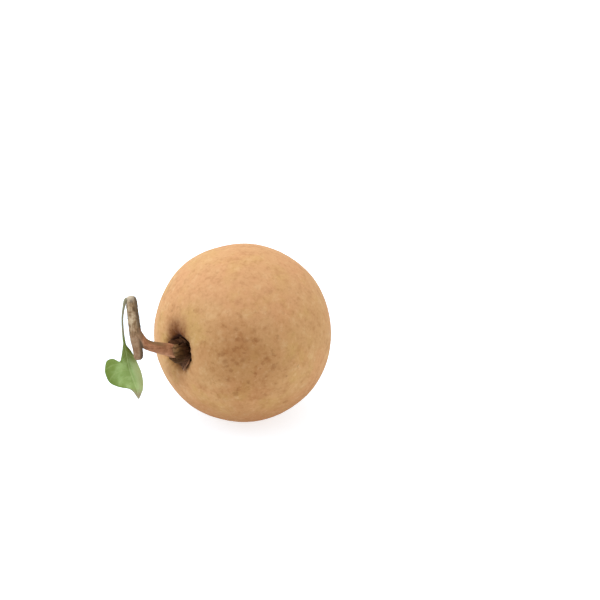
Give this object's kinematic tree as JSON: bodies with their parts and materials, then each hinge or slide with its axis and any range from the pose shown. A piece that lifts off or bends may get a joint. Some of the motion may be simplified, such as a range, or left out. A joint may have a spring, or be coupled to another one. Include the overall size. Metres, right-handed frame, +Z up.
{
  "type": "sapodilla fruit",
  "caption": "Whole round sapodilla lying on its side, with a dried calyx in its stalk pit, a curved stalk on a short cut twig and a small green leaf.",
  "frame": {"origin": "middle of the small flat spot that the fruit rests on", "axes": "+Z up; the stalk, twig and leaf are at the -X, -Y side, and the picture looks along +Y and down"},
  "size_m": [0.0867, 0.0757, 0.0699],
  "materials": {
    "fruit_skin": "dry, matt, scurfy skin",
    "calyx": "dried, dull",
    "bark": "rough bark",
    "leaf": "fresh, slightly glossy"
  },
  "bodies": {
    "root": {"fruit": "fruit_skin", "calyx": "calyx", "stalk_and_twig": "bark", "leaf": "leaf"}
  },
  "joints": []
}
